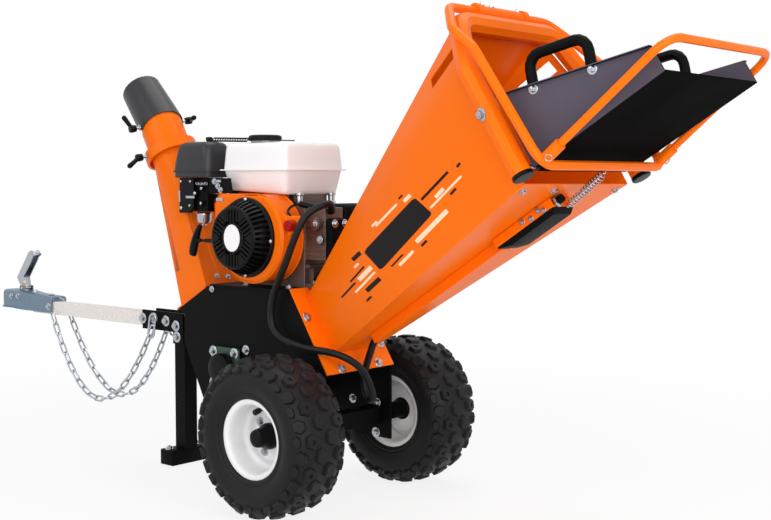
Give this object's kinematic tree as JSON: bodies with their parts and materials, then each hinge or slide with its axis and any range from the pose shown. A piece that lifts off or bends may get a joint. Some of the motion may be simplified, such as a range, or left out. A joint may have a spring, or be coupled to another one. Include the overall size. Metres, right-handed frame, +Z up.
{
  "type": "wood chipper",
  "caption": "Towed wood chipper with a drum chamber, small petrol engine, tilted feed hopper with folding tray and safety bar, swivelling discharge spout, two knobbly tyres and a prop stand.",
  "frame": {"origin": "centre of the stand foot's underside, on the ground", "axes": "+X to the feed mouth, -X to the tow coupling, +Z up, +Y to the belt guard's side"},
  "size_m": [2.3086, 0.6, 1.0803],
  "materials": {
    "orange_paint": "gloss orange powder coat",
    "black_paint": "satin black paint on steel",
    "white_paint": "gloss white paint on steel",
    "off_white_paint": "off-white paint on steel tube",
    "green_paint": "green paint on cast housings",
    "zinc": "zinc plated steel",
    "steel": "bare machined steel",
    "alloy": "die cast aluminium",
    "tyre": "black tyre rubber",
    "belt_rubber": "black rubber",
    "black_plastic": "black moulded plastic",
    "white_plastic": "gloss white tank",
    "red_plastic": "red moulded knob"
  },
  "bodies": {
    "chassis": {"hopper_shell": "orange_paint", "lower_chute": "orange_paint", "mouth_tube": "orange_paint", "bar_sleeve": "orange_paint", "cable_channel": "orange_paint", "fan_housing": "orange_paint", "near_side_plate": "black_paint", "far_side_plate": "black_paint", "chamber_shell": "black_paint", "engine_deck": "black_paint", "stand_foot": "black_paint", "stand_leg": "black_paint", "drawbar_bracket_near": "black_paint", "drawbar_bracket_far": "black_paint", "belt_guard": "black_paint", "axle": "black_paint", "muffler": "black_paint", "recoil_cover": "black_paint", "drawbar": "off_white_paint", "bearing_near": "green_paint", "bearing_far": "green_paint", "coupling_body": "zinc", "safety_chain_near": "zinc", "safety_chain_far": "zinc", "return_spring": "zinc", "anvil": "steel", "tray_hinge_pin": "steel", "crankcase": "alloy", "carburettor": "alloy", "drive_belt": "belt_rubber", "air_filter_cover": "black_plastic", "switch_box": "black_plastic", "wiring_conduit": "black_plastic", "fuel_tank": "white_plastic"},
    "wheel_near": {"tyre_near": "tyre", "rim_near": "white_paint", "hub_cap_near": "black_plastic"},
    "wheel_far": {"tyre_far": "tyre", "rim_far": "white_paint", "hub_cap_far": "black_plastic"},
    "rotor": {"drum": "steel", "knife_a": "steel", "knife_b": "steel", "driven_pulley": "steel"},
    "crank": {"crankshaft": "steel", "drive_pulley": "steel"},
    "spout": {"upper_chute": "orange_paint"},
    "deflector": {"deflector": "black_paint"},
    "clamp_left": {"spout_clamp_left": "black_plastic"},
    "clamp_right": {"spout_clamp_right": "black_plastic"},
    "clamp_collar": {"collar_clamp": "black_plastic"},
    "tray": {"feed_tray": "black_paint", "tray_handle_near": "black_paint", "tray_handle_far": "black_paint"},
    "bar": {"safety_bar": "orange_paint", "feed_hoop": "orange_paint"},
    "tow_lever": {"coupling_lever": "zinc"},
    "recoil": {"recoil_grip": "black_plastic"},
    "cap": {"fuel_cap": "black_plastic"},
    "switch": {"engine_switch": "red_plastic"}
  },
  "joints": [
    {"name": "wheel_near_turn", "type": "hinge", "parent": "chassis", "child": "wheel_near", "pos_m": [0.56, -0.2275, 0.1775], "axis": [0, 1, 0], "continuous": true},
    {"name": "wheel_far_turn", "type": "hinge", "parent": "chassis", "child": "wheel_far", "pos_m": [0.56, 0.2275, 0.1775], "axis": [0, 1, 0], "continuous": true},
    {"name": "rotor_turn", "type": "hinge", "parent": "chassis", "child": "rotor", "pos_m": [0.3, 0, 0.29], "axis": [0, 1, 0], "continuous": true},
    {"name": "crank_turn", "type": "hinge", "parent": "chassis", "child": "crank", "pos_m": [0.38, 0, 0.6], "axis": [0, 1, 0], "continuous": true},
    {"name": "spout_swivel", "type": "hinge", "parent": "chassis", "child": "spout", "pos_m": [-0.043, 0, 0.81089], "axis": [-0.5, 0, 0.866], "range_deg": [-170, 170]},
    {"name": "deflector_tilt", "type": "hinge", "parent": "spout", "child": "deflector", "pos_m": [-0.0805, 0, 0.87585], "axis": [-0.2748, -0.9483, -0.1587], "range_deg": [-15.5, 34.5]},
    {"name": "clamp_left_turn", "type": "hinge", "parent": "spout", "child": "clamp_left", "pos_m": [-0.09649, -0.05519, 0.86661], "axis": [-0.2748, -0.9483, -0.1587], "range_deg": [-90, 90]},
    {"name": "clamp_right_turn", "type": "hinge", "parent": "spout", "child": "clamp_right", "pos_m": [-0.06451, 0.05519, 0.88508], "axis": [-0.2748, -0.9483, -0.1587], "range_deg": [-90, 90]},
    {"name": "clamp_collar_turn", "type": "hinge", "parent": "spout", "child": "clamp_collar", "pos_m": [-0.05754, -0.06572, 0.79211], "axis": [-0.2748, -0.9483, -0.1587], "range_deg": [-90, 90]},
    {"name": "tray_fold", "type": "hinge", "parent": "chassis", "child": "tray", "pos_m": [1.20383, 0, 0.75786], "axis": [0, -1, 0], "range_deg": [0, 20]},
    {"name": "bar_swing", "type": "hinge", "parent": "chassis", "child": "bar", "pos_m": [1.0023, 0, 1.06675], "axis": [0, 1, 0], "range_deg": [-2, 0], "stiffness_Nm_per_rad": 60, "springref_deg": 5.73},
    {"name": "tow_lever_turn", "type": "hinge", "parent": "chassis", "child": "tow_lever", "pos_m": [-0.7103, 0, 0.4143], "axis": [0, 1, 0], "range_deg": [0, 60]},
    {"name": "recoil_pull", "type": "slide", "parent": "chassis", "child": "recoil", "axis": [-1, 0, 0], "range_m": [0, 0.13], "stiffness_N_per_m": 40, "springref_m": -0.1},
    {"name": "cap_turn", "type": "hinge", "parent": "chassis", "child": "cap", "pos_m": [0.338, -0.025, 0.82], "axis": [0, 0, 1], "range_deg": [0, 90]},
    {"name": "switch_turn", "type": "hinge", "parent": "chassis", "child": "switch", "pos_m": [0.5135, -0.1049, 0.63], "axis": [0, -1, 0], "range_deg": [0, 45]}
  ],
  "couplings": [
    {"joint": "crank_turn", "follows": "rotor_turn", "ratio": 1.6667}
  ]
}
